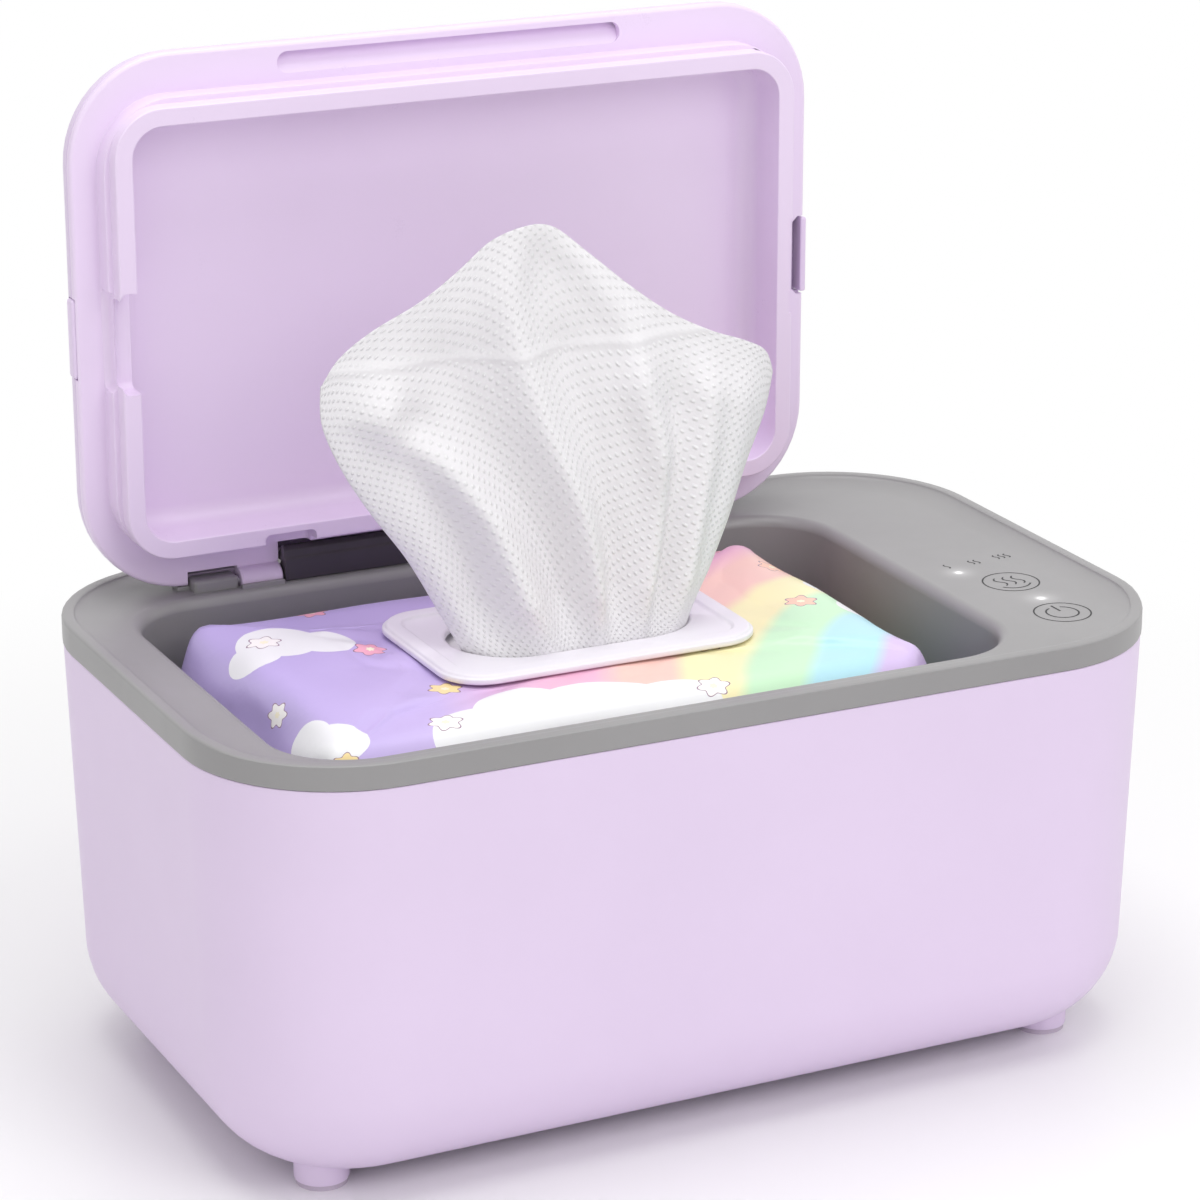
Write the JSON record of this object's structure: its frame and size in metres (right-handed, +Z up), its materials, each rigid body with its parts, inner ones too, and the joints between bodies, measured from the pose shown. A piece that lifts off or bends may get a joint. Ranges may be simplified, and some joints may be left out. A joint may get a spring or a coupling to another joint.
{
  "type": "baby wipe warmer",
  "caption": "Countertop warmer for baby wipes: a rounded tub with a heated tank, a hinged lid shown open, a touch control panel and a pack of wipes inside.",
  "frame": {"origin": "on the ground under the middle of the tub", "axes": "+Z up, the tub is longest along X with the control panel at +X, the front faces -Y and the lid's hinge is at +Y"},
  "size_m": [0.265, 0.1634, 0.262],
  "materials": {
    "shell_lavender": "fine matt moulding",
    "lid_lavender": "satin moulding",
    "sole_rubber": "matt",
    "deck_grey": "fine matt moulding",
    "hinge_dark": "satin moulding",
    "plate_aluminium": "anodised",
    "gasket_silicone": "matt",
    "film_amber": "polyimide film",
    "part_black": "moulded",
    "fuse_ceramic": "matt",
    "foam_dark": "closed-cell foam",
    "board_green": "solder mask",
    "steel": "zinc plated",
    "led_white": "clear resin",
    "pipe_clear": "clear acrylic",
    "lead_dark": "cable sheath",
    "lead_pale": "cable sheath",
    "pack_film": "printed film",
    "frame_white": "moulded",
    "wipe_white": "embossed nonwoven"
  },
  "bodies": {
    "root": {"outer_shell": "shell_lavender", "foot_pads": "sole_rubber", "top_frame": "deck_grey", "deck_collar": "deck_grey", "inner_tank": "deck_grey", "heat_plate": "plate_aluminium", "plate_gasket": "gasket_silicone", "heater_film": "film_amber", "thermistor": "part_black", "thermal_fuse": "fuse_ceramic", "insulation_pad": "foam_dark", "insulation_wrap": "foam_dark", "control_board": "board_green", "board_chips": "part_black", "touch_springs": "steel", "status_leds": "led_white", "light_pipes": "pipe_clear", "dc_jack": "part_black", "jack_nut": "steel", "jack_lead": "lead_dark", "heater_lead": "lead_pale", "hinge_block": "hinge_dark", "hinge_pins": "steel", "wipes_bag": "pack_film", "bag_ring": "frame_white", "wipes_stack": "wipe_white", "wipe": "wipe_white", "hinge_screws": "steel", "tank_screws": "steel", "board_screws": "steel", "plate_screws": "steel", "base_screws": "steel"},
    "lid": {"lid_cover": "lid_lavender", "lid_liner": "lid_lavender", "lid_clips": "lid_lavender"}
  },
  "joints": [
    {"name": "lid_hinge", "type": "hinge", "parent": "root", "child": "lid", "pos_m": [-0.0145, 0.06155, 0.11905], "axis": [-1, 0, 0], "range_deg": [-90, 0], "deforming": ["wipe"]}
  ]
}
